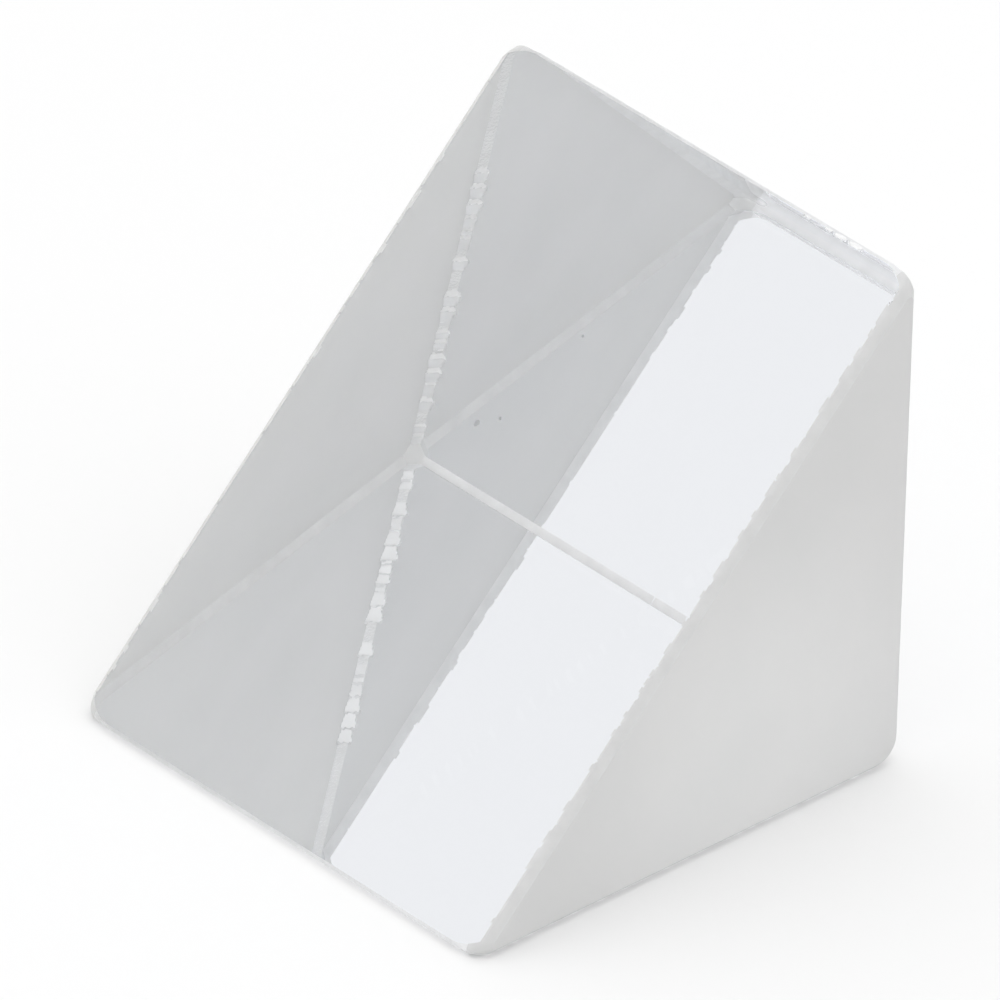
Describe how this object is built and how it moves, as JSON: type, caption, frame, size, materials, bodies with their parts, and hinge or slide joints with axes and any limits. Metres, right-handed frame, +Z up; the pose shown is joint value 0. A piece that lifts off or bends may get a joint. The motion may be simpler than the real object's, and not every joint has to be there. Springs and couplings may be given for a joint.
{
  "type": "right-angle prism",
  "caption": "Right-angled block of clear glass with polished long faces, ground triangular ends and narrow ground flats along its edges, for bending or turning back a beam of light.",
  "frame": {"origin": "middle of the bounding box at the surface that the prism lies on", "axes": "+X along the long edges, from one ground end to the other; +Y from the sloping face to the upright leg face; +Z up, square to the leg face that the prism lies on"},
  "size_m": [0.026, 0.025, 0.025],
  "materials": {
    "optical_glass": "clear glass, polished long faces, finely ground ends, edges and corners"
  },
  "bodies": {
    "root": {"prism_block": "optical_glass"}
  },
  "joints": []
}
